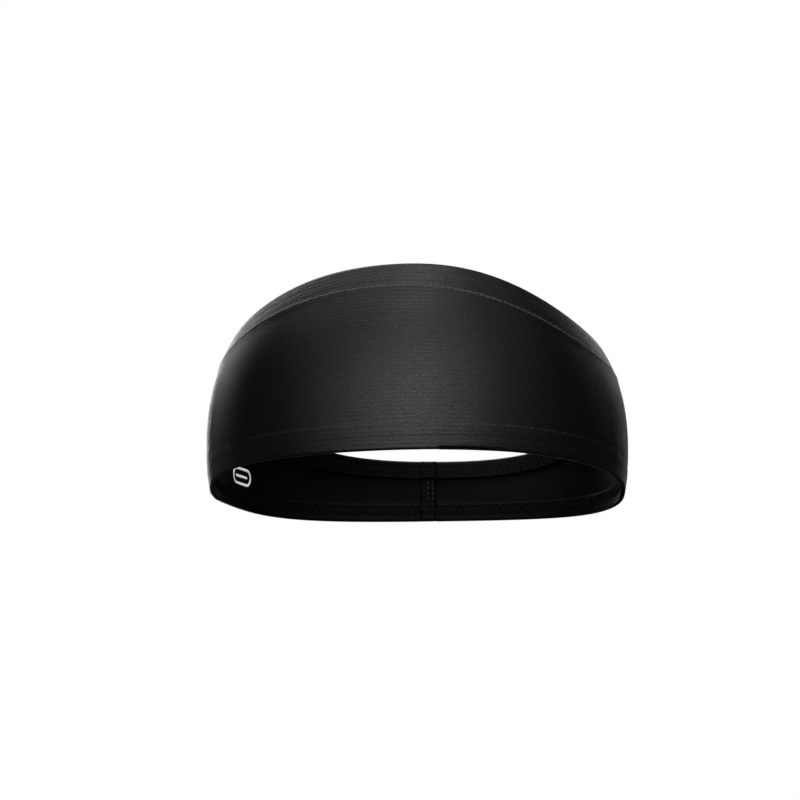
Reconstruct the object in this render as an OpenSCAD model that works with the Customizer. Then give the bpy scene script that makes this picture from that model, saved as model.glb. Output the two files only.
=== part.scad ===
/* [Size] */
// Breadth across the temples, outside the cloth
head_breadth = 158; // [145:1:170]
// Length from the forehead to the nape, outside the cloth
head_length = 185; // [170:1:200]
// Height of the band at the forehead
front_height = 69.5; // [50:0.5:80]
// Height of the band at the nape
back_height = 25; // [23:0.5:40]

/* [Outline] */
// How much narrower the forehead is than an even oval, and how much wider the back of the head
egg = 0.13; // [0:0.01:0.16]
// Squareness of the outline at the forehead, where 2 is an ellipse
front_squareness = 2.05; // [2:0.05:2.5]
// Squareness of the outline at the nape, where 2 is an ellipse
back_squareness = 2.3; // [2:0.05:2.5]

/* [Dome] */
// How far the upper edge leans in over the forehead
front_lean = 12.5; // [0:0.5:16]
// How far the upper edge leans in over the ears
side_lean = 8; // [0:0.5:12]
// How far the upper edge leans in at the nape
back_lean = 0; // [0:0.5:4]
// How late the lean sets in on the way up, where 1 is a straight slope
lean_power = 2.6; // [1.5:0.1:3]
// How far the middle of the cloth bellies out
belly = 1.2; // [0:0.1:2]

/* [Cloth and hems] */
// Thickness of one layer of the knit
cloth_t = 1; // [0.7:0.1:1.3]
// Height of both hems at the forehead
front_hem = 9.5; // [8:0.5:11]
// Height of both hems at the nape
back_hem = 7; // [6:0.5:8]
// Place of the needle row near the fold, as a share of the hem's height
edge_row = 0.42; // [0.3:0.01:0.5]
// Place of the needle row near the raw edge, as a share of the hem's height
inner_row = 0.92; // [0.8:0.01:0.92]

/* [Back seam] */
// Width of the seam allowance, which is folded to one side on the inside
allowance = 6; // [5:0.5:8]
// How far the folded allowance stands in from the cloth, pressed flat
allowance_t = 1.2; // [0.8:0.1:2]
// Distance from the fold of the seam to the first needle row
first_needle = 1.2; // [1:0.1:1.5]
// Distance from the fold of the seam to the second needle row
second_needle = 3.2; // [2.8:0.1:3.5]

/* [Thread] */
// Width of a sewing thread as it lies flat on the cloth
thread_w = 0.6; // [0.4:0.05:0.8]
// Height that a sewing thread stands on the cloth
thread_t = 0.4; // [0.3:0.05:0.5]
// Height that the flatter looper threads stand on the cloth
looper_t = 0.3; // [0.2:0.05:0.4]
// Air left between the cloth and what lies on it
lie_gap = 0.12; // [0.1:0.01:0.2]

/* [Transfer mark] */
// Angle from the forehead to the middle of the mark, negative on the wearer's right
mark_angle = -118; // [-130:1:-105]
// Height of the middle of the mark above the lower edge
mark_z = 13.4; // [12.5:0.1:14.5]
// Length of the capsule outline
mark_length = 16; // [12:0.5:20]
// Height of the capsule outline
mark_height = 7; // [6:0.5:8]
// Width of the capsule's line
mark_line = 1.1; // [0.8:0.1:1.4]
// Thickness of the transfer film
mark_t = 0.2; // [0.15:0.05:0.3]

/* [Hidden] */

knit_colour = [0.07, 0.07, 0.075];
thread_colour = [0.14, 0.14, 0.15];
mark_colour = [0.78, 0.78, 0.78];

// Angles run round the head in degrees: 0 at the forehead (-Y), 90 at the wearer's left (+X), -180 at the seam
station_step = 5;
// Turn over which the seam allowance rises from the cloth
rise_turn = 0.2;
// Steps up the single-layer cloth between the hems
web_steps = 4;
// Steps up a stitch line of the back seam
riser_steps = 4;
// Steps round each rounded end of the mark
mark_end_steps = 6;
// Length of the bar inside the mark
bar_length = mark_length - mark_height;
// Clear cloth left between a hem and the ends of the seam's stitch lines
riser_clear = 1;
// The fold of a hem, from the outer face round to the inner one: shares of its depth and of its height.
// The middle is flat, because the band rests on it.
FOLD = [[0, 1], [0.12, 0.35], [0.35, 0], [0.65, 0], [0.88, 0.35], [1, 1]];

function spow(v, e) = sign(v) * pow(abs(v), e);

// Changes smoothly from the nape's value to the forehead's on the way round
function blend(back, front, a) = back + (front - back) * (1 + cos(a)) / 2;

function band_height(a) = blend(back_height, front_height, a);

function hem_height(a) = blend(back_hem, front_hem, a);

function lean(a) = side_lean + ((cos(a) > 0 ? front_lean : back_lean) - side_lean) * pow(cos(a), 2);

// How far the outer face stands in from the lower edge at height z
function inset(a, z) =
  let (up = z / band_height(a))
  lean(a) * pow(up, lean_power) - 4 * belly * up * (1 - up);

// The point at angle a and height z, at depth d inwards from the outer face
function band_point(a, z, d) =
  let (
    power = 2 / blend(back_squareness, front_squareness, a),
    widen = 1 - egg * cos(a) * abs(cos(a)),
    inwards = inset(a, z) + d
  )
  [
    (head_breadth / 2 - inwards) * spow(sin(a), power) * widen,
    (inwards - head_length / 2) * spow(cos(a), power),
    z
  ];

// Angle at a distance in mm round from the seam, on the allowance's side
function seam_angle(distance) =
  asin(pow(distance / (head_breadth / 2 * (1 + egg)), back_squareness / 2)) - 180;

// Turn in degrees that covers 1 mm of the cloth at angle a and height z
function turn_per_mm(a, z) = 0.5 / norm(band_point(a + 0.25, z, 0) - band_point(a - 0.25, z, 0));

seam_from = -180 + rise_turn;
seam_to = seam_angle(allowance);
stations = concat(
  [-180, seam_from, seam_to, seam_to + rise_turn],
  [for (a = [-180 + 1.5 * station_step : station_step : 180 - station_step / 2]) a]
);

// Height of the folded allowance, added to the inner face where it lies
function seam_lift(a) = a > seam_from - rise_turn / 2 && a < seam_to + rise_turn / 2 ? allowance_t : 0;

// Depth of the inner face between the hems, and on the hems
function single_depth(a) = cloth_t + seam_lift(a);

function hem_depth(a) = 2 * cloth_t + seam_lift(a);

// Height of a stitch line that lies at a share of the hem, on the lower or the upper hem
function row_z(a, share, upper) = upper ? band_height(a) - share * hem_height(a) : share * hem_height(a);

// One cut through the band at angle a, as [height, depth] points: lower fold, inner face, upper fold, outer face
function band_section(a) =
  let (
    top = band_height(a),
    hem = hem_height(a),
    single = single_depth(a),
    double = hem_depth(a),
    step = cloth_t / 2,
    web = [for (k = [1 : web_steps - 1]) hem + (top - 2 * hem) * k / web_steps]
  )
  concat(
    [for (p = FOLD) [p[1] * cloth_t, p[0] * double]],
    [[hem, double], [hem + step, single]],
    [for (z = web) [z, single]],
    [[top - hem - step, single], [top - hem, double]],
    [for (k = [len(FOLD) - 1 : -1 : 0]) [top - FOLD[k][1] * cloth_t, FOLD[k][0] * double]],
    [[top - hem, 0]],
    [for (k = [web_steps - 2 : -1 : 0]) [web[k], 0]],
    [[hem, 0]]
  );

// Solid skinned over a row of equal rings of points: joined end to end, or capped at both ends
module skin(rings, closed = false) {
  count = len(rings);
  sides = len(rings[0]);
  sides_faces = [
    for (i = [0 : count - (closed ? 1 : 2)], j = [0 : sides - 1])
      let (next = (i + 1) % count, turn = (j + 1) % sides)
      [i * sides + j, next * sides + j, next * sides + turn, i * sides + turn]
  ];
  caps = closed ? [] : [
    [for (j = [0 : sides - 1]) j],
    [for (j = [sides - 1 : -1 : 0]) (count - 1) * sides + j]
  ];
  polyhedron([for (ring = rings, p = ring) p], concat(sides_faces, caps), convexity = 8);
}

// Needle thread of a hem: one strand all round, on the outer face
module needle_ring(share, upper) {
  middle = -lie_gap - thread_t / 2;
  skin([
    for (a = stations)
      let (z = row_z(a, share, upper))
      [for (k = [0 : 60 : 300]) band_point(a, z + sin(k) * thread_w / 2, middle + cos(k) * thread_t / 2)]
  ], closed = true);
}

// Looper thread of a hem: the flat bed of its loops, all round on the inner face, from one needle row to the other.
// The inner face is straight between its corners where the bed curves, so the bed lies twice the gap away.
module looper_ring(upper) {
  skin([
    for (a = stations)
      let (
        edge_z = row_z(a, edge_row, upper),
        inner_z = row_z(a, inner_row, upper),
        low = min(edge_z, inner_z),
        high = max(edge_z, inner_z),
        near = hem_depth(a) + 2 * lie_gap,
        far = near + looper_t
      )
      [band_point(a, low, near), band_point(a, low, far), band_point(a, high, far), band_point(a, high, near)]
  ], closed = true);
}

// Thread of the back seam: a strip up the inside between the hems, between two distances from the seam's fold
module seam_riser(from, to, near, far) {
  low = back_hem + riser_clear;
  high = back_height - back_hem - riser_clear;
  a1 = seam_angle(from);
  a2 = seam_angle(to);
  skin([
    for (k = [0 : riser_steps])
      let (z = low + (high - low) * k / riser_steps)
      [band_point(a1, z, near), band_point(a2, z, near), band_point(a2, z, far), band_point(a1, z, far)]
  ]);
}

// Point of the mark's plane laid on the inner face: x along the band, y up it
function mark_point(x, y, d) =
  band_point(mark_angle + x * turn_per_mm(mark_angle, mark_z), mark_z + y, d);

module knit_band() {
  color(knit_colour)
    skin([for (a = stations) [for (p = band_section(a)) band_point(a, p[0], p[1])]], closed = true);
}

module top_hem_edge_needle_thread() {
  color(thread_colour) needle_ring(edge_row, true);
}

module top_hem_inner_needle_thread() {
  color(thread_colour) needle_ring(inner_row, true);
}

module top_hem_looper_thread() {
  color(thread_colour) looper_ring(true);
}

module bottom_hem_edge_needle_thread() {
  color(thread_colour) needle_ring(edge_row, false);
}

module bottom_hem_inner_needle_thread() {
  color(thread_colour) needle_ring(inner_row, false);
}

module bottom_hem_looper_thread() {
  color(thread_colour) looper_ring(false);
}

// Face of the folded allowance, the looper threads that lie on it, and the needle threads that hold them down
allowance_face = cloth_t + allowance_t;
looper_near = allowance_face + lie_gap;
needle_near = looper_near + looper_t + lie_gap;

module back_seam_first_needle_thread() {
  color(thread_colour)
    seam_riser(first_needle - thread_w / 2, first_needle + thread_w / 2, needle_near, needle_near + thread_t);
}

module back_seam_second_needle_thread() {
  color(thread_colour)
    seam_riser(second_needle - thread_w / 2, second_needle + thread_w / 2, needle_near, needle_near + thread_t);
}

// Lies across the allowance, from the first needle row to the cut edge
module back_seam_upper_looper_thread() {
  color(thread_colour)
    seam_riser(first_needle - thread_w / 2, allowance - lie_gap, looper_near, looper_near + looper_t);
}

// Comes round the cut edge from under the allowance
module back_seam_lower_looper_thread() {
  edge = allowance + 4 * lie_gap;
  color(thread_colour)
    seam_riser(edge, edge + thread_w, cloth_t + lie_gap, cloth_t + lie_gap + thread_t);
}

// Plain capsule outline with a bar inside it
module transfer_mark() {
  near = cloth_t + 1.5 * lie_gap;
  far = near + mark_t;
  outer_r = mark_height / 2;
  inner_r = outer_r - mark_line;
  half_run = bar_length / 2;
  turns = [for (end = [0, 180], k = [0 : mark_end_steps]) end - 90 + 180 * k / mark_end_steps];
  color(mark_colour) {
    skin([
      for (i = [0 : len(turns) - 1])
        let (t = turns[i], x = i <= mark_end_steps ? half_run : -half_run)
        [for (p = [[outer_r, near], [outer_r, far], [inner_r, far], [inner_r, near]])
          mark_point(x + p[0] * cos(t), p[0] * sin(t), p[1])]
    ], closed = true);
    skin([
      for (x = [-half_run, 0, half_run])
        [for (p = [[-1, near], [-1, far], [1, far], [1, near]]) mark_point(x, p[0] * mark_line / 2, p[1])]
    ]);
  }
}

knit_band();
top_hem_edge_needle_thread();
top_hem_inner_needle_thread();
top_hem_looper_thread();
bottom_hem_edge_needle_thread();
bottom_hem_inner_needle_thread();
bottom_hem_looper_thread();
back_seam_first_needle_thread();
back_seam_second_needle_thread();
back_seam_upper_looper_thread();
back_seam_lower_looper_thread();
transfer_mark();
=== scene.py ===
import math

import bpy
import numpy as np
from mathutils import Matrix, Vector


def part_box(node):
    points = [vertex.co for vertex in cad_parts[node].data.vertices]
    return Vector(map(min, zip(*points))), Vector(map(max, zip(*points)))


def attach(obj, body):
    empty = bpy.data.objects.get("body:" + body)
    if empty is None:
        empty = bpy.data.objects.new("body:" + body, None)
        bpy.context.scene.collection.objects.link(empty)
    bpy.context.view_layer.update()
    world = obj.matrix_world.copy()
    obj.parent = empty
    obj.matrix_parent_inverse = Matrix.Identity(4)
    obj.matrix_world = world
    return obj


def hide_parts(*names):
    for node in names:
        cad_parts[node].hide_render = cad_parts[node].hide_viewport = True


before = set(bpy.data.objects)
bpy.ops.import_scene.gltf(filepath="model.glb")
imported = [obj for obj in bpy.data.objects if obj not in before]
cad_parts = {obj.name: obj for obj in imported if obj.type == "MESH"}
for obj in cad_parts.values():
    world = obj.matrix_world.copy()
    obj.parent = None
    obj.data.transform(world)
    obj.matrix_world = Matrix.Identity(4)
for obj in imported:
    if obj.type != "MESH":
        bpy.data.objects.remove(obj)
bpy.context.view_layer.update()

# The band's lengths are in millimetres until metres() turns them into metres. The studio's are in metres.
MM = 0.001
FULL_TURN = 2 * math.pi

# ---------------------------------------------------------------- shape of the worn band

# The belly stands this much outside the lower edge's half breadth.
BELLY_OUT = 0.56
band_low, band_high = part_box("knit_band")
HALF_BREADTH = (band_high.x - band_low.x) / 2 / MM - BELLY_OUT
HALF_LENGTH = 92.5
FRONT_HEIGHT = 69.5
BACK_HEIGHT = 25.0
# How much narrower the forehead is than an even oval, and how much wider the back of the head
EGG = 0.13
FRONT_SQUARENESS = 2.05
BACK_SQUARENESS = 2.3
# How far the upper edge leans in, and how late on the way up: a higher power leans later
FRONT_LEAN = 12.5
SIDE_LEAN = 8.0
BACK_LEAN = 0.0
FRONT_LEAN_POWER = 2.6
SIDE_LEAN_POWER = 3.4
# How far the cloth swells outwards half-way up
BELLY = 1.2

# How the worn cloth strays from the even shape on its way round: (waves per turn, cosine part, sine part).
UPPER_EDGE_WAVES = [
    (0, 0.5, 0.0),
    (1, -1.0, 0.35),
    (2, -1.0, -1.9),
    (3, 2.1, 0.0),
    (4, 0.0, 0.9),
    (5, -0.8, 0.0),
]
LOWER_EDGE_WAVES = [(0, -0.3, 0.0), (1, 1.0, -0.4), (2, 0.16, 0.15), (3, -0.6, 0.4)]
LEAN_WAVES = [(0, -0.8, 0.0), (1, 0.25, -1.6), (2, -0.4, 0.8), (3, 0.0, -1.7)]
OUTLINE_WAVES = [(2, -0.33, 0.4), (3, 0.23, 0.42), (4, -0.67, -0.44)]
# The lower edge hangs down a little at the wearer's two temples: (where, half width, how far)
SAGS = [(math.radians(-90), math.radians(15), 2.4), (math.radians(98), math.radians(15), 0.75)]
LOWEST_POINT_SAMPLES = 721
RUN_SAMPLES = 40001

# ---------------------------------------------------------------- cloth, hems and seam

CLOTH_T = 1.0
FRONT_HEM = 9.5
BACK_HEM = 7.0
# The upper hem widens round the sides, and more at the wearer's left
UPPER_HEM_WIDENS = 2.0
UPPER_HEM_SWAY = 0.6
# The lower hem turns under a little round the sides, and most at the temples: how far at the fold
SIDE_TUCK = 0.4
TEMPLE_TUCK = 0.6
TEMPLE_ANGLE = math.radians(55)
TEMPLE_HALF_WIDTH = math.radians(22)
# It starts to turn at this share of the hem's height
TUCK_FROM = 1.2
# Places of the two needle rows, as shares of the hem's height from its fold
EDGE_ROW = 0.42
INNER_ROW = 0.96
# A hem's finer points reach this far from the edge, as a share of the hem's height
HEM_REACH = 1.25
FOLD_R = 0.75
# 1 makes a fold round, less makes it squarer
UPPER_FOLD_POWER = 1.0
LOWER_FOLD_POWER = 0.7

STITCHES = 216
STATIONS_PER_STITCH = 4
# Finer stations from this far before the seam to this far after it, so far apart
SEAM_ZONE_BEFORE = 2.0
SEAM_ZONE = 9.0
SEAM_STATION = 0.2
# Points of one cut through the band, both ends of each stretch counted
HEM_POINTS = 27
OUTER_WEB_POINTS = 42
INNER_WEB_POINTS = 20
FOLD_POINTS = 11

# The seam's folded allowance, and its two needle rows' distances from the seam
ALLOWANCE = 6.0
ALLOWANCE_T = 1.2
FIRST_NEEDLE = 1.2
SECOND_NEEDLE = 3.2
# It rises between these distances from the seam, and falls between these from its cut edge
ALLOWANCE_RISE = (-0.25, 0.35)
ALLOWANCE_FALL = (-0.3, 0.35)

# Relief of the outer face. A hem stands proud, and sinks back between these shares past its inner row
HEM_PROUD = 0.03
HEM_SINKS = (-0.02, 0.12)
# The cloth bulges between the needle rows: how far, and over what share of the hem to each side
TUNNEL_BULGE = 0.05
TUNNEL_HALF_WIDTH = 0.17
# The groove along the row near the fold: its share of depth between the holes, and what a hole adds
EDGE_GROOVE = 0.03
GROOVE_HALF_WIDTH = 0.55
GROOVE_BETWEEN_HOLES = 0.6
GROOVE_AT_HOLE = 0.7
# The ridge along the inner row, steeper towards the fold, and the share of it that each hole takes away
TOP_RIDGE = 0.22
BOTTOM_RIDGE = 0.04
RIDGE_EDGE_SIDE = 0.8
RIDGE_FAR_SIDE = 2.0
RIDGE_LOST_AT_HOLE = 0.3
# At the sides the lower hem's inner row lies in a groove instead
SIDE_GROOVE = 0.15
# The cloth gathers at each stitch of the inner row, and puckers in longer waves
GATHER = 0.02
GATHER_HALF_WIDTH = 1.8
PUCKER = 0.035
PUCKER_HALF_WIDTH = 3.0
# The groove of the seam, and the swelling over the allowance behind it
SEAM_GROOVE = 0.6
SEAM_GROOVE_HALF_WIDTH = 0.55
SEAM_SWELLING = 0.22
SEAM_SWELLING_AT = 2.5
SEAM_SWELLING_HALF_WIDTH = 2.6

# Relief of the inner face. The hem's second layer ends between these shares of the hem's height
SECOND_LAYER_ENDS = (1.0, 1.07)
# The raw edge stands out a little on the inside, and is wavy
RAW_EDGE_AT = 0.98
RAW_EDGE_RIDGE = 0.1
RAW_EDGE_HALF_WIDTH = 0.5
RAW_EDGE_WAVY = 0.06
RAW_EDGE_WAVY_HALF_WIDTH = 1.5
# The row near the fold is pressed in on the inside, by half as much between the holes
ROW_PRESSED = 0.16
ROW_HALF_WIDTH = 0.6

# Uneven waves: (fewest per turn, most per turn, seed)
RIPPLE_TERMS = 9
PUCKER_RIPPLE = (25, 75, 3)
RAW_EDGE_RIPPLE = (30, 90, 5)
NEEDLE_ROW_RIPPLE = (40, 110, 11)

# ---------------------------------------------------------------- threads and mark

THREAD_R = 0.34
# The upper hem's inner row shows as a broader line than the others
BROAD_THREAD_R = 0.44
# The needle threads are pressed flat: height as a share of width
THREAD_FLATNESS = 0.45
NEEDLE_SIDES = 10
NEEDLE_STEPS = 10
# How far a needle row strays up and down
ROW_STRAYS = 0.07
# Each stitch dives into its hole: how deep, and how abruptly
HOLE_DEPTH = 0.75
HOLE_SHARPNESS = 22
# Depth of a stitch's middle in the cloth, in half heights of the thread, for each row of each hem
ROW_BURY = {("top", "edge"): 0.92, ("top", "inner"): 0.1, ("bottom", "edge"): 0.92, ("bottom", "inner"): 0.7}
# Round the sides the threads sink in this far instead, and this power says how suddenly
SIDE_BURY = 0.95
SIDE_BURY_POWER = 4

LOOPER_R = 0.16
LOOPER_SIDES = 6
LOOPER_STEPS = 18
# A loop leans back over itself by this share of a stitch, turns squarish by this power, and where it
# crosses itself passes this far over and under
LOOP_LEAN = 0.24
LOOP_TURN_POWER = 0.75
LOOP_CROSSING = 0.12
LOOPER_CLEAR = 0.17

SEAM_THREAD_MARGIN = 1.0
SEAM_STITCH = 2.25
SEAM_NEEDLE_POINTS = 60
SEAM_HOLE_DEPTH = 0.8
SEAM_HOLE_SHARPNESS = 6
SEAM_LOOPER_POINTS = 140
SEAM_LOOPER_CLEAR = 0.05
# The upper looper's loops, which stop this far short of the allowance's cut edge
SEAM_LOOP_MARGIN = 0.45
SEAM_LOOP_LEAN = 0.2
SEAM_LOOP_TURN_POWER = 0.8
SEAM_LOOP_CROSSING = 0.1
# The lower looper's bars: how far past the cut edge their middles lie, their half length and their slant
BAR_PAST_EDGE = 0.35
BAR_HALF_LENGTH = 0.55
BAR_SLANT = 0.25

MARK_ANGLE = math.radians(-118)
MARK_Z = 13.4
MARK_LENGTH = 16.0
MARK_HEIGHT = 7.0
MARK_LINE = 1.1
MARK_T = 0.16
# The film starts this far inside the cloth. Its edges round off above half its thickness.
MARK_SUNK = 0.1
MARK_EDGE_STARTS = 0.5
MARK_EDGE_WIDTH = 0.6
BAR_TOP_SHARE = 0.8
MARK_END_POINTS = 22


def spow(v, e):
    """A power that keeps the sign."""
    return np.sign(v) * np.abs(v) ** e


def blend(back, front, a):
    """Changes smoothly from the nape's value to the forehead's on the way round."""
    return back + (front - back) * (1 + np.cos(a)) / 2


def waves(terms, a):
    return sum(c * np.cos(k * a) + s * np.sin(k * a) for k, c, s in terms)


def smooth(low, high, v):
    """Goes from 0 at low to 1 at high."""
    t = np.clip((v - low) / (high - low), 0, 1)
    return t * t * (3 - 2 * t)


def hill(v, half_width):
    return np.exp(-((v / half_width) ** 2))


def lower_edge(a):
    hanging = sum(depth * hill(a - angle, half_width) for angle, half_width, depth in SAGS)
    return waves(LOWER_EDGE_WAVES, a) - hanging


# Sets the lowest point of the lower edge on the floor
LOWER_EDGE_LIFT = -float(np.min(lower_edge(np.linspace(-math.pi, math.pi, LOWEST_POINT_SAMPLES))))


def low_z(a):
    return LOWER_EDGE_LIFT + lower_edge(a)


def band_height(a):
    return blend(BACK_HEIGHT, FRONT_HEIGHT, a) + waves(UPPER_EDGE_WAVES, a) - lower_edge(a)


def hem_height(a, upper):
    widening = UPPER_HEM_WIDENS * np.sin(a) ** 2 + UPPER_HEM_SWAY * np.sin(a)
    return blend(BACK_HEM, FRONT_HEM, a) + np.where(upper, widening, 0)


def nearer_hem(a, v):
    """The hem nearer to height v: the distance as a share of it, its height, and whether it is the upper."""
    height = band_height(a)
    upper = v > height / 2
    hem = hem_height(a, upper)
    return np.where(upper, height - v, v) / hem, hem, upper


def tuck(a, v):
    """How far the lower hem turns in at height v."""
    at_fold = SIDE_TUCK * np.sin(a) ** 2 + TEMPLE_TUCK * hill(np.abs(a) - TEMPLE_ANGLE, TEMPLE_HALF_WIDTH)
    return at_fold * np.clip(1 - v / (TUCK_FROM * hem_height(a, False)), 0, 1) ** 2


def lean(a):
    front_or_back = np.where(np.cos(a) > 0, FRONT_LEAN, BACK_LEAN)
    return SIDE_LEAN + (front_or_back - SIDE_LEAN) * np.cos(a) ** 2 + waves(LEAN_WAVES, a)


def cloth_point(a, v, d):
    """The point at angle a (0 at the forehead), v above the lower edge and d inwards from the outer face."""
    up = np.clip(v / band_height(a), 0, 1)
    lean_power = FRONT_LEAN_POWER + (SIDE_LEAN_POWER - FRONT_LEAN_POWER) * np.sin(a) ** 2
    swelling = 4 * BELLY * up * (1 - up)
    inwards = lean(a) * up**lean_power - swelling - waves(OUTLINE_WAVES, a) + tuck(a, v) + d
    power = 2 / blend(BACK_SQUARENESS, FRONT_SQUARENESS, a)
    widen = 1 - EGG * np.cos(a) * np.abs(np.cos(a))
    x = (HALF_BREADTH - inwards) * spow(np.sin(a), power) * widen
    y = (inwards - HALF_LENGTH) * spow(np.cos(a), power)
    return np.stack(np.broadcast_arrays(x, y, low_z(a) + v), -1)


def distances(points):
    """How far each point of a path is along it."""
    return np.concatenate([[0], np.cumsum(np.linalg.norm(np.diff(points, axis=0), axis=1))])


# Distance round the lower edge from the seam, and the angle at that distance
EDGE_ANGLES = np.linspace(-math.pi, math.pi, RUN_SAMPLES)
EDGE_RUNS = distances(cloth_point(EDGE_ANGLES, 0 * EDGE_ANGLES, 0 * EDGE_ANGLES))
ROUND = EDGE_RUNS[-1]
PITCH = ROUND / STITCHES


def angle_at(s):
    return np.interp(np.mod(s, ROUND), EDGE_RUNS, EDGE_ANGLES)


def run_at(a):
    return np.interp(a, EDGE_ANGLES, EDGE_RUNS)


def from_seam(s):
    """Signed distance from the seam: positive on the side of the folded allowance."""
    s = np.mod(s, ROUND)
    return np.where(s > ROUND / 2, s - ROUND, s)


def ripple(s, fewest, most, seed):
    """Uneven wave round the band, between -1 and 1 or so, of fewest to most waves per turn."""
    rng = np.random.default_rng(seed)
    total = 0 * s
    for k in np.linspace(fewest, most, RIPPLE_TERMS).astype(int):
        total = total + np.sin(FULL_TURN * (k * s / ROUND + rng.random()))
    return total / math.sqrt(RIPPLE_TERMS)


def allowance_lift(s):
    """Height of the seam's folded allowance on the inner face."""
    x = from_seam(s)
    return ALLOWANCE_T * smooth(*ALLOWANCE_RISE, x) * (1 - smooth(*ALLOWANCE_FALL, x - ALLOWANCE))


def holes(along, length):
    """1 at each needle hole and 0 half-way between two, for stitches of this length."""
    return 0.5 + 0.5 * np.cos(FULL_TURN * along / length)


def outer_relief(s, share, hem, upper):
    """How far the outer face stands out, at a share of the hem's height from the nearer edge."""
    at_hole = holes(s, PITCH)
    from_edge_row = (share - EDGE_ROW) * hem
    from_inner_row = (share - INNER_ROW) * hem
    proud = HEM_PROUD * (1 - smooth(*HEM_SINKS, share - INNER_ROW))
    tunnel = TUNNEL_BULGE * hill(share - (EDGE_ROW + INNER_ROW) / 2, TUNNEL_HALF_WIDTH)
    groove_depth = EDGE_GROOVE * (GROOVE_BETWEEN_HOLES + GROOVE_AT_HOLE * at_hole)
    edge_groove = groove_depth * hill(from_edge_row, GROOVE_HALF_WIDTH)
    at_side = np.sin(angle_at(s)) ** 2
    lower_ridge = BOTTOM_RIDGE - (BOTTOM_RIDGE + SIDE_GROOVE) * at_side
    ridge_height = np.where(upper, TOP_RIDGE, lower_ridge) * (1 - RIDGE_LOST_AT_HOLE * at_hole)
    ridge = ridge_height * hill(from_inner_row, np.where(from_inner_row < 0, RIDGE_EDGE_SIDE, RIDGE_FAR_SIDE))
    gathered = GATHER * np.cos(FULL_TURN * s / PITCH) * hill(from_inner_row, GATHER_HALF_WIDTH)
    puckers = PUCKER * ripple(s, *PUCKER_RIPPLE) * hill(from_inner_row, PUCKER_HALF_WIDTH)
    groove = SEAM_GROOVE * hill(from_seam(s), SEAM_GROOVE_HALF_WIDTH)
    swelling = SEAM_SWELLING * hill(from_seam(s) - SEAM_SWELLING_AT, SEAM_SWELLING_HALF_WIDTH)
    return proud + tunnel - edge_groove + ridge + gathered + puckers - (groove - swelling)


def inner_depth(s, share, hem):
    """Depth of the inner face behind the outer one: two layers on the hem, one between the hems."""
    from_edge_row = (share - EDGE_ROW) * hem
    from_layer_end = (share - SECOND_LAYER_ENDS[0]) * hem
    layers = 2 - smooth(*SECOND_LAYER_ENDS, share)
    raw_edge = RAW_EDGE_RIDGE * hill((share - RAW_EDGE_AT) * hem, RAW_EDGE_HALF_WIDTH)
    row = ROW_PRESSED * hill(from_edge_row, ROW_HALF_WIDTH) * (0.5 + 0.5 * holes(s, PITCH))
    uneven = RAW_EDGE_WAVY * ripple(s, *RAW_EDGE_RIPPLE) * hill(from_layer_end, RAW_EDGE_WAVY_HALF_WIDTH)
    return CLOTH_T * layers + raw_edge - row + uneven + allowance_lift(s)


# Under the forehead, to the wearer's left of the middle, the fold of the lower hem rolls under: where it
# starts and ends, half the length over which it comes, the length over which it goes, how far the cloth
# turns in at the fold, how high the roll reaches, and how much higher at each needle hole
ROLL_FROM = 14.5
ROLL_TO = 46.0
ROLL_COMES = 0.5
ROLL_FADE = 18.0
ROLL_IN = 0.65
ROLL_HEIGHT = 1.1
ROLL_SCALLOP = 0.3


def roll(s, v):
    """How far the rolled fold turns in at height v, scalloped by the stitches above it."""
    x = s - run_at(0.0)
    coming = smooth(ROLL_FROM - ROLL_COMES, ROLL_FROM + ROLL_COMES, x)
    going = smooth(ROLL_TO - ROLL_FADE, ROLL_TO, x)
    height = ROLL_HEIGHT + ROLL_SCALLOP * holes(s, PITCH)
    return ROLL_IN * coming * (1 - going) * (1 - smooth(0.0, 1.0, v / height))


# ---------------------------------------------------------------- meshes


def metres(points):
    return np.asarray(points, float) * MM


def add_mesh(name, points, faces, uv, material):
    mesh = bpy.data.meshes.new(name)
    corners = [tuple(int(i) for i in face) for face in faces]
    mesh.from_pydata([tuple(p) for p in metres(points)], [], corners)
    mesh.polygons.foreach_set("use_smooth", [True] * len(mesh.polygons))
    if uv is not None:
        layer = mesh.uv_layers.new(name="cloth_mm")
        layer.data.foreach_set("uv", np.asarray(uv, np.float32).ravel())
    mesh.update()
    mesh.materials.append(material)
    piece = bpy.data.objects.new(name, mesh)
    bpy.context.scene.collection.objects.link(piece)
    return piece


def grid_faces(rows, columns, closed_rows, closed_columns):
    """Faces of a grid of points, row by row, joined round in one or both directions."""
    i = np.arange(rows if closed_rows else rows - 1)[:, None]
    j = np.arange(columns if closed_columns else columns - 1)[None, :]
    a = i * columns + j
    b = ((i + 1) % rows) * columns + j
    c = ((i + 1) % rows) * columns + (j + 1) % columns
    d = i * columns + (j + 1) % columns
    return np.stack(np.broadcast_arrays(a, b, c, d), -1).reshape(-1, 4)


def grid_uv(u, v):
    """The same faces' UVs: u for the rows and v for the columns, each with one more where its ends join."""
    i = np.arange(len(u) - 1)[:, None]
    j = np.arange(len(v) - 1)[None, :]
    i, j = np.broadcast_arrays(i, j)
    corners = [(i, j), (i + 1, j), (i + 1, j + 1), (i, j + 1)]
    return np.stack([np.stack([u[r], v[c]], -1) for r, c in corners], -2).reshape(-1, 2)


def turned_over(faces, uv):
    """The same faces and UVs with the other side out."""
    return faces[:, ::-1], uv.reshape(-1, 4, 2)[:, ::-1].reshape(-1, 2)


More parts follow.
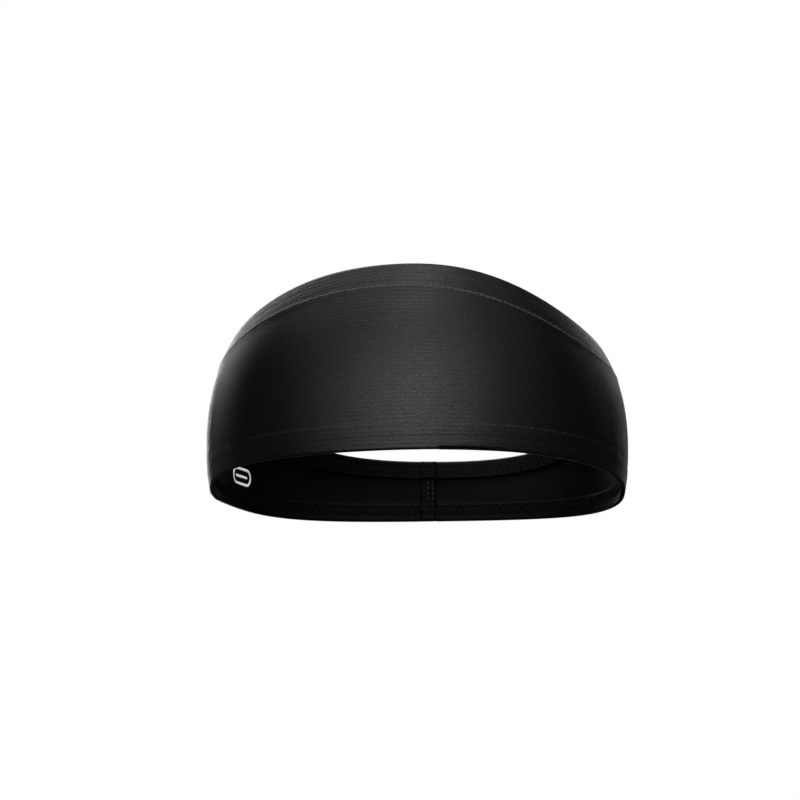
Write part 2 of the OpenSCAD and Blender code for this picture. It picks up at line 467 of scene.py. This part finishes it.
def stations():
    """Distances round the band at which it is cut, closer together at the seam."""
    even = np.arange(STITCHES * STATIONS_PER_STITCH) * PITCH / STATIONS_PER_STITCH
    fine = np.mod(np.arange(-SEAM_ZONE_BEFORE, SEAM_ZONE, SEAM_STATION), ROUND)
    x = from_seam(even)
    kept = even[(x < -SEAM_ZONE_BEFORE - SEAM_STATION / 2) | (x > SEAM_ZONE)]
    return np.sort(np.concatenate([kept, fine]))


def section_points():
    """One cut through the band: (zone, place in the zone), from the lower fold up the outer face and back."""
    hem = np.linspace(0, 1, HEM_POINTS)
    outer_web = np.linspace(0, 1, OUTER_WEB_POINTS)[1:-1]
    inner_web = np.linspace(0, 1, INNER_WEB_POINTS)[1:-1]
    fold = np.linspace(0, 1, FOLD_POINTS)[1:-1]
    stretches = [
        ("lower_fold", fold[::-1]),
        ("lower_out", hem),
        ("web_out", outer_web),
        ("upper_out", hem[::-1]),
        ("upper_fold", fold),
        ("upper_in", hem),
        ("web_in", inner_web[::-1]),
        ("lower_in", hem[::-1]),
    ]
    return [(zone, t) for zone, places in stretches for t in places]


def fold_place(upper, t, s, a):
    """Height and depth on a fold, from the outer face at t = 0 to the inner one at t = 1."""
    hem = hem_height(a, upper)
    turn = math.pi * t
    share = FOLD_R / hem
    near = -outer_relief(s, share, hem, upper)
    far = inner_depth(s, share, hem)
    power = UPPER_FOLD_POWER if upper else LOWER_FOLD_POWER
    d = (near + far) / 2 - (far - near) / 2 * spow(math.cos(turn), power)
    from_edge = FOLD_R * (1 - math.sin(turn) ** power)
    if upper:
        return band_height(a) - from_edge, d
    # The roll dies out over the fold's inner half
    return from_edge, d + roll(s, from_edge) * smooth(1.0, 0.5, t)


def section_place(zone, t, s, a):
    """Height above the lower edge and depth behind the outer face, at each station."""
    side, face = zone.split("_")
    if face == "fold":
        return fold_place(side == "upper", t, s, a)
    height = band_height(a)
    lower_reach = HEM_REACH * hem_height(a, False)
    upper_reach = HEM_REACH * hem_height(a, True)
    if side == "web":
        v = lower_reach + (height - lower_reach - upper_reach) * t
    elif side == "lower":
        v = FOLD_R + (lower_reach - FOLD_R) * t
    else:
        v = height - FOLD_R - (upper_reach - FOLD_R) * t
    if face == "in":
        return v, inner_face_depth(s, v)
    rolled = roll(s, v) if side == "lower" else 0.0
    return v, rolled + outer_face_depth(s, v)


def outer_face_depth(s, v):
    """Depth of the outer face at height v, without the roll."""
    return -outer_relief(s, *nearer_hem(angle_at(s), v))


def inner_face_depth(s, v):
    share, hem, upper = nearer_hem(angle_at(s), v)
    return inner_depth(s, share, hem)


def build_cloth(material, reverse):
    s = stations()
    a = angle_at(s)
    points = section_points()
    grid = np.stack([cloth_point(a, *section_place(zone, t, s, a)) for zone, t in points], 1)
    middle = grid[len(s) // 2]
    up = distances(np.vstack([middle, middle[:1]]))
    faces = grid_faces(len(s), len(points), True, True)
    uv = grid_uv(np.append(s, ROUND), up)
    cloth = add_mesh("headband_cloth", grid.reshape(-1, 3), faces, uv, material)
    cloth.data.materials.append(reverse)
    inside = [zone.endswith("_in") for zone, t in points]
    cloth.data.polygons.foreach_set("material_index", np.tile(np.array(inside, np.int32), len(s)))
    return cloth


def unit(vectors):
    return vectors / np.linalg.norm(vectors, axis=1)[:, None]


def tube(name, path, radius, sides, closed, material, flatness=1.0):
    """A thread along a path of points: round, or pressed flat on the cloth."""
    if closed:
        ahead = unit(np.roll(path, -1, 0) - np.roll(path, 1, 0))
    else:
        ahead = unit(np.gradient(path, axis=0))
    across = unit(np.cross(ahead, unit(path * [1, 1, 0])))
    lift = np.cross(across, ahead)
    turn = np.arange(sides) * FULL_TURN / sides
    rings = path[:, None] + radius * (
        flatness * np.cos(turn)[None, :, None] * lift[:, None] + np.sin(turn)[None, :, None] * across[:, None]
    )
    along = distances(path)
    if closed:
        along = np.append(along, along[-1] + np.linalg.norm(path[0] - path[-1]))
    around = np.append(turn * radius, FULL_TURN * radius)
    faces, uv = turned_over(grid_faces(len(path), sides, closed, True), grid_uv(along, around))
    faces = [tuple(face) for face in faces]
    uv = [tuple(corner) for corner in uv]
    if not closed:
        last = (len(path) - 1) * sides
        faces.append(tuple(range(sides))[::-1])
        faces.append(tuple(last + k for k in range(sides)))
        uv += [(0.0, 0.0)] * (2 * sides)
    return add_mesh(name, rings.reshape(-1, 3), faces, uv, material)


def row_height(a, share, upper):
    from_edge = share * hem_height(a, upper)
    return band_height(a) - from_edge if upper else from_edge


def needle_row(name, share, upper, bury, radius, material):
    """Stitches of one needle: out on the cloth, and down a hole at each end."""
    s = np.arange(STITCHES * NEEDLE_STEPS) * PITCH / NEEDLE_STEPS
    a = angle_at(s)
    v = row_height(a, share, upper) + ROW_STRAYS * ripple(s, *NEEDLE_ROW_RIPPLE)
    sunk = bury + (SIDE_BURY - bury) * np.sin(a) ** SIDE_BURY_POWER
    lie = outer_face_depth(s, v) + radius * THREAD_FLATNESS * sunk
    dive = HOLE_DEPTH * holes(s, PITCH) ** HOLE_SHARPNESS
    return tube(name, cloth_point(a, v, lie + dive), radius, NEEDLE_SIDES, True, material, THREAD_FLATNESS)


def looper_row(name, upper, material):
    """Looper thread on the hem's inner face: loops from one needle row to the other and back."""
    phase = np.arange(STITCHES * LOOPER_STEPS) / LOOPER_STEPS
    s = PITCH * (phase + LOOP_LEAN * np.sin(2 * FULL_TURN * phase))
    a = angle_at(s)
    swing = spow(np.cos(FULL_TURN * phase), LOOP_TURN_POWER)
    share = (EDGE_ROW + INNER_ROW) / 2 + (INNER_ROW - EDGE_ROW) / 2 * swing
    v = row_height(a, share, upper)
    over = LOOP_CROSSING * np.sin(FULL_TURN * phase)
    d = inner_face_depth(s, v) + LOOPER_R + LOOPER_CLEAR + over
    return tube(name, cloth_point(a, v, d), LOOPER_R, LOOPER_SIDES, True, material)


def seam_heights():
    """Heights above the lower edge between which the back seam's stitches show."""
    a = math.pi
    low = hem_height(a, False) + SEAM_THREAD_MARGIN
    return low, band_height(a) - low


def seam_needle(name, distance, material):
    low, high = seam_heights()
    v = np.linspace(low, high, SEAM_NEEDLE_POINTS)
    s = distance + 0 * v
    dive = SEAM_HOLE_DEPTH * holes(v - low, SEAM_STITCH) ** SEAM_HOLE_SHARPNESS
    d = inner_face_depth(s, v) + LOOPER_R * 2 + THREAD_R * THREAD_FLATNESS - dive
    path = cloth_point(angle_at(s), v, d)
    return tube(name, path, THREAD_R, NEEDLE_SIDES, False, material, THREAD_FLATNESS)


def seam_looper(name, s, v, over, material):
    low, high = seam_heights()
    v = np.clip(v, low, high)
    d = inner_face_depth(s, v) + LOOPER_R + SEAM_LOOPER_CLEAR + over
    return tube(name, cloth_point(angle_at(s), v, d), LOOPER_R, LOOPER_SIDES, False, material)


def seam_upper_looper(name, material):
    """Loops across the allowance, from the first needle row nearly to the cut edge."""
    low, high = seam_heights()
    phase = np.linspace(0, (high - low) / SEAM_STITCH, SEAM_LOOPER_POINTS)
    v = low + SEAM_STITCH * (phase + SEAM_LOOP_LEAN * np.sin(2 * FULL_TURN * phase))
    swing = spow(np.cos(FULL_TURN * phase), SEAM_LOOP_TURN_POWER)
    far = ALLOWANCE - SEAM_LOOP_MARGIN
    s = (FIRST_NEEDLE + far) / 2 - swing * (far - FIRST_NEEDLE) / 2
    over = SEAM_LOOP_CROSSING * np.sin(FULL_TURN * phase)
    return seam_looper(name, s, v, over, material)


def seam_lower_looper(name, material):
    """Comes round the cut edge of the allowance, in short slanting bars."""
    low, high = seam_heights()
    phase = np.linspace(0, (high - low) / SEAM_STITCH, SEAM_LOOPER_POINTS)
    v = low + SEAM_STITCH * phase + BAR_SLANT * np.sin(FULL_TURN * phase)
    s = ALLOWANCE + BAR_PAST_EDGE + BAR_HALF_LENGTH * np.cos(FULL_TURN * phase)
    return seam_looper(name, s, v, 0.0, material)


def mark_place(x, y, lift):
    """Point of the mark's plane laid on the inner face: x along the band, y up it."""
    s = run_at(MARK_ANGLE) + x
    v = MARK_Z + y + 0 * x
    return cloth_point(angle_at(s), v, inner_face_depth(s, v) + lift)


def capsule_outline(radius):
    """Points round a capsule as long as the mark's straight part, the same number for each radius."""
    half_run = (MARK_LENGTH - MARK_HEIGHT) / 2
    ends = []
    for centre, start in ((half_run, -math.pi / 2), (-half_run, math.pi / 2)):
        turn = start + np.linspace(0, math.pi, MARK_END_POINTS)
        ends.append(np.stack([centre + radius * np.cos(turn), radius * np.sin(turn)], -1))
    runs = []
    for k in (0, 1):
        straight = np.linspace(ends[k][-1], ends[1 - k][0], MARK_END_POINTS)[1:-1]
        runs += [ends[k], straight]
    return np.concatenate(runs)


def film_loop(outer, inner):
    """Rings of a thin raised film between two outlines, softened at its edges: (outline, lift)."""
    soft = unit(outer - inner) * MARK_T * MARK_EDGE_WIDTH
    side = MARK_T * MARK_EDGE_STARTS
    return [
        (outer, -MARK_SUNK),
        (outer, side),
        (outer - soft, MARK_T),
        (inner + soft, MARK_T),
        (inner, side),
        (inner, -MARK_SUNK),
    ]


def film_bar(radius):
    """Rings of a solid bar of the same film, from its bottom to its top."""
    outer = capsule_outline(radius)
    top = capsule_outline(radius * BAR_TOP_SHARE)
    return [(outer, -MARK_SUNK), (outer, MARK_T * MARK_EDGE_STARTS), (top, MARK_T)]


def film_grid(rings, closed):
    """Points on the cloth, the same points laid flat, and the faces between the rings."""
    points = np.stack([mark_place(outline[:, 0], outline[:, 1], lift) for outline, lift in rings], 1)
    flat = np.stack([outline for outline, lift in rings], 1)
    faces = grid_faces(len(points), len(rings), True, closed)[:, ::-1]
    return points.reshape(-1, 3), flat.reshape(-1, 2), faces


def cap_faces(count, rings):
    """The bar's top and bottom as strips across it, so that they follow the cloth."""
    half = count // 2
    order = (MARK_END_POINTS // 2 + np.arange(count)) % count
    left, right = order[:half], order[half:][::-1]
    faces = []
    for k in range(half - 1):
        strip = np.array([left[k], left[k + 1], right[k + 1], right[k]]) * rings
        faces += [strip[::-1] + rings - 1, strip]
    return faces


def build_mark(material):
    """Plain capsule outline with a bar inside it, as one film."""
    radius = MARK_HEIGHT / 2
    loop = film_loop(capsule_outline(radius), capsule_outline(radius - MARK_LINE))
    points, flat, faces = film_grid(loop, True)
    bar = film_bar(MARK_LINE / 2)
    bar_points, bar_flat, bar_faces = film_grid(bar, False)
    bar_faces = np.vstack([bar_faces, cap_faces(len(bar[0][0]), len(bar))])
    faces = np.vstack([faces, bar_faces + len(points)])
    points = np.vstack([points, bar_points])
    flat = np.vstack([flat, bar_flat])
    return add_mesh("transfer_mark_film", points, faces, flat[faces].reshape(-1, 2), material)


# ---------------------------------------------------------------- materials


class Nodes:
    """Short way to write a material's node tree."""

    def __init__(self, name):
        self.material = bpy.data.materials.new(name)
        self.material.use_nodes = True
        self.tree = self.material.node_tree
        self.shader = self.tree.nodes["Principled BSDF"]

    def link(self, value, socket):
        if isinstance(value, bpy.types.NodeSocket):
            self.tree.links.new(value, socket)
        else:
            socket.default_value = value

    def feed(self, kind, values):
        """A new node with these values on its first inputs."""
        node = self.tree.nodes.new(kind)
        for socket, value in zip(node.inputs, values):
            self.link(value, socket)
        return node

    def maths(self, operation, *values):
        node = self.feed("ShaderNodeMath", values)
        node.operation = operation
        return node.outputs[0]

    def plus(self, a, b):
        return self.maths("ADD", a, b)

    def times(self, a, b):
        return self.maths("MULTIPLY", a, b)

    def wave(self, turns):
        """Sine of an angle, between 0 and 1."""
        return self.times(self.plus(self.maths("SINE", turns), 1.0), 0.5)

    def ramp(self, value, low, high, to_low, to_high):
        return self.feed("ShaderNodeMapRange", (value, low, high, to_low, to_high)).outputs[0]

    def mix(self, factor, a, b):
        node = self.tree.nodes.new("ShaderNodeMix")
        node.data_type = "RGBA"
        for name, value in (("Factor_Float", factor), ("A_Color", a), ("B_Color", b)):
            self.link(value, next(i for i in node.inputs if i.identifier == name))
        return next(o for o in node.outputs if o.identifier == "Result_Color")

    def uv(self):
        node = self.tree.nodes.new("ShaderNodeUVMap")
        node.uv_map = "cloth_mm"
        apart = self.tree.nodes.new("ShaderNodeSeparateXYZ")
        self.tree.links.new(node.outputs[0], apart.inputs[0])
        return apart.outputs[0], apart.outputs[1]

    def noise(self, where, scale, detail):
        node = self.tree.nodes.new("ShaderNodeTexNoise")
        self.link(where, node.inputs["Vector"])
        node.inputs["Scale"].default_value = scale
        node.inputs["Detail"].default_value = detail
        return node.outputs[0]

    def cloth_noise(self, u, v, stretch_u, stretch_v, scale, detail):
        """Noise in millimetres over the surface, finer along or up it by the two stretches."""
        where = self.feed("ShaderNodeCombineXYZ", (self.times(u, stretch_u), self.times(v, stretch_v)))
        return self.noise(where.outputs[0], scale, detail)

    def bump(self, height, distance, strength, normal=None):
        node = self.tree.nodes.new("ShaderNodeBump")
        node.inputs["Strength"].default_value = strength
        node.inputs["Distance"].default_value = distance
        self.link(height, node.inputs["Height"])
        if normal is not None:
            self.link(normal, node.inputs["Normal"])
        return node.outputs[0]

    def finish(self, colour, roughness, normal, specular):
        for name, value in (("Base Color", colour), ("Roughness", roughness), ("Normal", normal)):
            self.link(value, self.shader.inputs[name])
        self.shader.inputs["Specular IOR Level"].default_value = specular
        return self.material


def grey(level):
    return (level, level, level, 1)


# Widths of a column of loops, a row of loops, and a stripe of several rows
WALE = 0.62
COURSE = 0.44
STRIPE = 1.5
# Noises of the surfaces: (stretch along the band, stretch up it, scale, detail)
COLUMN_DRIFT = (0.6, 0.25, 1.0, 2.0)
SLOW_WOBBLE = (1.0, 1.0, 0.035, 1.0)
QUICK_WOBBLE = (0.3, 0.5, 1.0, 1.0)
KNIT_GRAIN = (1.0, 1.8, 1.5, 1.5)
PATCHES = (1.0, 0.6, 0.9, 1.0)
THREAD_FUZZ = (1.0, 1.0, 5.0, 2.0)
FILM_GRAIN = (1.0, 1.0, 3.0, 3.0)
# How far the columns drift sideways, and how many radians the stripes wobble
COLUMN_DRIFTS = 2.2
SLOW_WOBBLES = 3.0
QUICK_WOBBLES = 1.6
# How many radians a loop's middle is out of step with its sides, and how much yarn shows between two loops
LOOP_SLOPE = 2.4
YARN_BETWEEN = 0.35
# Noise values that become (0, 1), and for the patches (least, 1)
GRAIN_RANGE = (0.36, 0.64)
PATCH_RANGE = (0.36, 0.6)
PATCH_LEAST = 0.2
STRIPE_SHARE = 0.3
GRAIN_SHARE = 0.7
KNIT_DARK = grey(0.0006)
KNIT_LIGHT = (0.0062, 0.0062, 0.0064, 1)
FACE_ROUGHNESS = (0.53, 0.25)
REVERSE_ROUGHNESS = (0.64, 0.48)
FACE_SPECULAR = 0.5
REVERSE_SPECULAR = 0.17
# Bumps: (height in metres, strength)
YARN_BUMP = (0.00007, 0.2)
KNIT_GRAIN_BUMP = (0.00006, 0.5)
DASH_BUMP = (0.00006, 0.55)
TWIST_BUMP = (0.00006, 0.8)
FILM_BUMP = (0.00003, 0.5)
# Length of one turn of a thread's twist, and how steeply it runs round the thread
TWIST = 0.55
TWIST_SLANT = 1.2
FUZZ_RANGE = (0.3, 0.7)
THREAD_ROUGHNESS = (0.5, 0.36)
THREAD_SPECULAR = 0.6
LOOPER_SPECULAR = 0.25
FILM_DARK = grey(0.72)
FILM_LIGHT = grey(0.86)
FILM_ROUGHNESS = (0.42, 0.55)
FILM_SPECULAR = 0.5


def knit_material(name, roughness, specular):
    """Fine knit with rows of loops, which catch the light as broken stripes along the band."""
    n = Nodes(name)
    u, v = n.uv()
    drift = n.times(n.cloth_noise(u, v, *COLUMN_DRIFT), COLUMN_DRIFTS)
    column = n.maths("ABSOLUTE", n.maths("SINE", n.times(n.plus(u, drift), math.pi / WALE)))
    row = n.plus(n.times(v, FULL_TURN / COURSE), n.times(column, LOOP_SLOPE))
    yarn = n.times(n.plus(n.wave(row), YARN_BETWEEN), column)
    slow = n.times(n.cloth_noise(u, v, *SLOW_WOBBLE), SLOW_WOBBLES)
    quick = n.times(n.cloth_noise(u, v, *QUICK_WOBBLE), QUICK_WOBBLES)
    stripe = n.wave(n.plus(n.times(v, FULL_TURN / STRIPE), n.plus(slow, quick)))
    grain = n.ramp(n.cloth_noise(u, v, *KNIT_GRAIN), *GRAIN_RANGE, 0.0, 1.0)
    patches = n.ramp(n.cloth_noise(u, v, *PATCHES), *PATCH_RANGE, PATCH_LEAST, 1.0)
    tone = n.plus(n.times(stripe, STRIPE_SHARE), n.times(grain, GRAIN_SHARE))
    normal = n.bump(yarn, *YARN_BUMP)
    normal = n.bump(grain, *KNIT_GRAIN_BUMP, normal)
    normal = n.bump(n.times(stripe, patches), *DASH_BUMP, normal)
    return n.finish(n.mix(tone, KNIT_DARK, KNIT_LIGHT), n.ramp(tone, 0.0, 1.0, *roughness), normal, specular)


def thread_material(name, dark, light, specular):
    """Twisted thread with a little fuzz."""
    n = Nodes(name)
    along, around = n.uv()
    twist = n.wave(n.times(n.plus(along, n.times(around, TWIST_SLANT)), FULL_TURN / TWIST))
    fuzz = n.cloth_noise(along, around, *THREAD_FUZZ)
    roughness = n.ramp(fuzz, *FUZZ_RANGE, *THREAD_ROUGHNESS)
    return n.finish(n.mix(fuzz, grey(dark), grey(light)), roughness, n.bump(twist, *TWIST_BUMP), specular)


def film_material(name):
    n = Nodes(name)
    grain = n.cloth_noise(*n.uv(), *FILM_GRAIN)
    roughness = n.ramp(grain, *FUZZ_RANGE, *FILM_ROUGHNESS)
    return n.finish(n.mix(grain, FILM_DARK, FILM_LIGHT), roughness, n.bump(grain, *FILM_BUMP), FILM_SPECULAR)


# ---------------------------------------------------------------- studio

# In millimetres above the even lower edge
TARGET_HEIGHT = 35
TARGET = Vector((0, 0, (TARGET_HEIGHT + LOWER_EDGE_LIFT) * MM))
CAMERA_DISTANCE = 1.2
CAMERA_YAW = math.radians(-4.45)
CAMERA_RISE = math.radians(9.97)
LENS = 142.4
SENSOR_WIDTH = 36
NEAREST_SEEN = 0.05
FARTHEST_SEEN = 100
# The band sits right of the picture's middle, so the camera looks past its left side.
AIM_RIGHT = -6.95 * MM
AIM_UP = -1.25 * MM


def direction(azimuth, elevation):
    """Unit vector at angles in radians: azimuth 0 is the front, a quarter turn the wearer's left."""
    return Vector(
        (
            math.sin(azimuth) * math.cos(elevation),
            -math.cos(azimuth) * math.cos(elevation),
            math.sin(elevation),
        )
    )


def add_camera():
    """Stands in front of the band, a little below it, and looks up."""
    data = bpy.data.cameras.new("photo_camera")
    data.lens = LENS
    data.sensor_width = SENSOR_WIDTH
    data.clip_start = NEAREST_SEEN
    data.clip_end = FARTHEST_SEEN
    camera = bpy.data.objects.new("photo_camera", data)
    bpy.context.scene.collection.objects.link(camera)
    ahead = -direction(-CAMERA_YAW, -CAMERA_RISE)
    right = ahead.cross(Vector((0, 0, 1))).normalized()
    up = right.cross(ahead)
    camera.location = TARGET - ahead * CAMERA_DISTANCE
    aim = TARGET + right * AIM_RIGHT + up * AIM_UP
    camera.rotation_mode = "QUATERNION"
    camera.rotation_quaternion = (aim - camera.location).to_track_quat("-Z", "Y")
    bpy.context.scene.camera = camera


LIGHT_DISTANCE = 1.55
BOX_WIDTH = 0.4
BOX_HEIGHT = 0.85
FLOOR_LIGHT = 4.2
FLOOR_LIGHT_SPREAD = 80
# Soft boxes round the band: name, azimuth from the front, elevation, power in watts
SOFT_BOXES = [
    ("front_far_right", -50, 8, 1.1),
    ("front_right", -25, 8, 2.7),
    ("front_middle", -8, 8, 2.4),
    ("front_left", 10, 8, 5.1),
    ("front_far_left", 35, 8, 2.8),
    ("high_far_right", -50, 60, 1.7),
    ("high_right", -8, 60, 2.8),
    ("high_left", 10, 60, 1.5),
    ("high_far_left", 35, 60, 1.8),
    ("side_right", -85, 52, 1.3),
    ("rear_right_low", -165, 8, 7.5),
    ("side_right_low", -140, 8, 0.1),
    ("rear_right_middle", -145, 30, 1.9),
    ("rear_right_high", -145, 52, 4.4),
    ("side_left_low", 65, 8, 0.35),
    ("side_left", 85, 52, 0.7),
    ("rear_left_middle", 145, 30, 0.42),
    ("rear_left_low", 165, 8, 0.4),
    ("rear_left", 165, 30, 1.0),
    ("back_fill", 180, 30, 4.0),
]
# The light that falls on the mark only: name, azimuth, elevation, distance, width, height, power
MARK_LIGHT = ("mark_light", 62, 50, 1.0, 0.3, 0.3, 12)


def add_light(name, azimuth, elevation, distance, width, height, power):
    """A soft box that faces the band. Azimuth 0 is in front, 90 at the wearer's left."""
    data = bpy.data.lights.new(name, "AREA")
    data.shape = "RECTANGLE"
    data.size = width
    data.size_y = height
    data.energy = power
    light = bpy.data.objects.new(name, data)
    bpy.context.scene.collection.objects.link(light)
    away = direction(math.radians(azimuth), math.radians(elevation))
    light.location = TARGET + away * distance
    light.rotation_mode = "QUATERNION"
    light.rotation_quaternion = (-away).to_track_quat("-Z", "Y")
    light.visible_camera = False
    return light


def add_floor_light():
    """Soft light straight from above, the same over the whole floor."""
    data = bpy.data.lights.new("floor_light", "SUN")
    data.energy = FLOOR_LIGHT
    data.angle = math.radians(FLOOR_LIGHT_SPREAD)
    light = bpy.data.objects.new("floor_light", data)
    light.location = (0, 0, LIGHT_DISTANCE)
    bpy.context.scene.collection.objects.link(light)
    return light


def light_only(light, receiver):
    """The light falls on this one thing, which the others still shade."""
    group = bpy.data.collections.new(light.name + "_falls_on")
    group.objects.link(receiver)
    light.light_linking.receiver_collection = group


# Half the floor's side, in metres
FLOOR_REACH = 6.0
FLOOR_GRAIN = 40.0
FLOOR_GRAIN_DETAIL = 3.0
FLOOR_DARK = grey(0.78)
FLOOR_LIGHT_GREY = grey(0.82)
# The floor throws hardly any light back up on the band
FLOOR_TO_OTHER_RAYS = grey(0.004)
FLOOR_ROUGHNESS = 0.7
FLOOR_SPECULAR = 0.2
GLOW_STRENGTH = 0.004


def add_floor():
    """Pale floor that shows from above and lets the low camera see past it from below."""
    reach = FLOOR_REACH / MM
    points = np.array([[-reach, -reach, 0], [reach, -reach, 0], [reach, reach, 0], [-reach, reach, 0]])
    n = Nodes("pale_floor")
    tree = n.tree
    where = tree.nodes.new("ShaderNodeTexCoord").outputs["Object"]
    grain = n.noise(where, FLOOR_GRAIN, FLOOR_GRAIN_DETAIL)
    seen = tree.nodes.new("ShaderNodeLightPath").outputs["Is Camera Ray"]
    pale = n.mix(grain, FLOOR_DARK, FLOOR_LIGHT_GREY)
    n.link(n.mix(seen, FLOOR_TO_OTHER_RAYS, pale), n.shader.inputs["Base Color"])
    n.shader.inputs["Roughness"].default_value = FLOOR_ROUGHNESS
    n.shader.inputs["Specular IOR Level"].default_value = FLOOR_SPECULAR
    clear = tree.nodes.new("ShaderNodeBsdfTransparent").outputs[0]
    side = tree.nodes.new("ShaderNodeNewGeometry").outputs["Backfacing"]
    both = n.feed("ShaderNodeMixShader", (side, n.shader.outputs[0], clear))
    tree.links.new(both.outputs[0], tree.nodes["Material Output"].inputs["Surface"])
    floor = add_mesh("floor", points, [(0, 1, 2, 3)], None, n.material)
    return floor


def set_world():
    """White where the camera sees it, and a faint even glow for everything else."""
    world = bpy.data.worlds.new("studio")
    bpy.context.scene.world = world
    world.use_nodes = True
    tree = world.node_tree
    tree.nodes.clear()
    out = tree.nodes.new("ShaderNodeOutputWorld")
    path = tree.nodes.new("ShaderNodeLightPath").outputs["Is Camera Ray"]
    mix = tree.nodes.new("ShaderNodeMixShader")
    tree.links.new(path, mix.inputs[0])
    for socket, strength in ((mix.inputs[1], GLOW_STRENGTH), (mix.inputs[2], 1.0)):
        background = tree.nodes.new("ShaderNodeBackground")
        background.inputs[0].default_value = grey(1)
        background.inputs[1].default_value = strength
        tree.links.new(background.outputs[0], socket)
    tree.links.new(mix.outputs[0], out.inputs[0])


# ---------------------------------------------------------------- assembly


def settle(piece, slot, *nodes):
    """Every piece of the band rides on its one body and stands for its CAD nodes."""
    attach(piece, "root")
    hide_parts(*nodes)


add_camera()
knit = knit_material("black_knit_face", FACE_ROUGHNESS, FACE_SPECULAR)
reverse = knit_material("black_knit_reverse", REVERSE_ROUGHNESS, REVERSE_SPECULAR)
thread = thread_material("black_thread", 0.008, 0.022, THREAD_SPECULAR)
looper_thread = thread_material("black_looper_thread", 0.006, 0.016, LOOPER_SPECULAR)
# The next two threads are the same black thread painted lighter: a faint and a strong painted highlight for
# the hems' inner rows.
thread_painted_half_bright = thread_material("black_thread_painted_dim_highlight", 0.014, 0.032, THREAD_SPECULAR)
thread_painted_bright = thread_material("black_thread_painted_highlight", 0.034, 0.08, THREAD_SPECULAR)
film = film_material("pale_transfer_film")

cloth = build_cloth(knit, reverse)
settle(cloth, "knit", "knit_band")

# Radius and thread of each hem's needle rows. The inner rows' threads are lighter, a painted highlight for
# the line of light those rows catch.
row_threads = {
    ("top", "edge"): (THREAD_R, thread),
    ("top", "inner"): (BROAD_THREAD_R, thread_painted_bright),
    ("bottom", "edge"): (THREAD_R, thread),
    ("bottom", "inner"): (THREAD_R, thread_painted_half_bright),
}
for hem in ("top", "bottom"):
    for row, share in (("edge", EDGE_ROW), ("inner", INNER_ROW)):
        name = f"{hem}_hem_{row}_needle"
        bury = ROW_BURY[hem, row]
        piece = needle_row(f"{name}_stitches", share, hem == "top", bury, *row_threads[hem, row])
        settle(piece, "thread", f"{name}_thread")
    name = f"{hem}_hem_looper"
    settle(looper_row(f"{name}_stitches", hem == "top", looper_thread), "thread", f"{name}_thread")

for which, distance in (("first", FIRST_NEEDLE), ("second", SECOND_NEEDLE)):
    name = f"back_seam_{which}_needle"
    settle(seam_needle(f"{name}_stitches", distance, thread), "thread", f"{name}_thread")
for which, build in (("upper", seam_upper_looper), ("lower", seam_lower_looper)):
    name = f"back_seam_{which}_looper"
    settle(build(f"{name}_stitches", looper_thread), "thread", f"{name}_thread")
mark = build_mark(film)
settle(mark, "transfer_film", "transfer_mark")

floor = add_floor()
set_world()
for name, azimuth, elevation, power in SOFT_BOXES:
    add_light(name, azimuth, elevation, LIGHT_DISTANCE, BOX_WIDTH, BOX_HEIGHT, power)
light_only(add_floor_light(), floor)
light_only(add_light(*MARK_LIGHT), mark)
bpy.context.scene.view_settings.view_transform = "Standard"
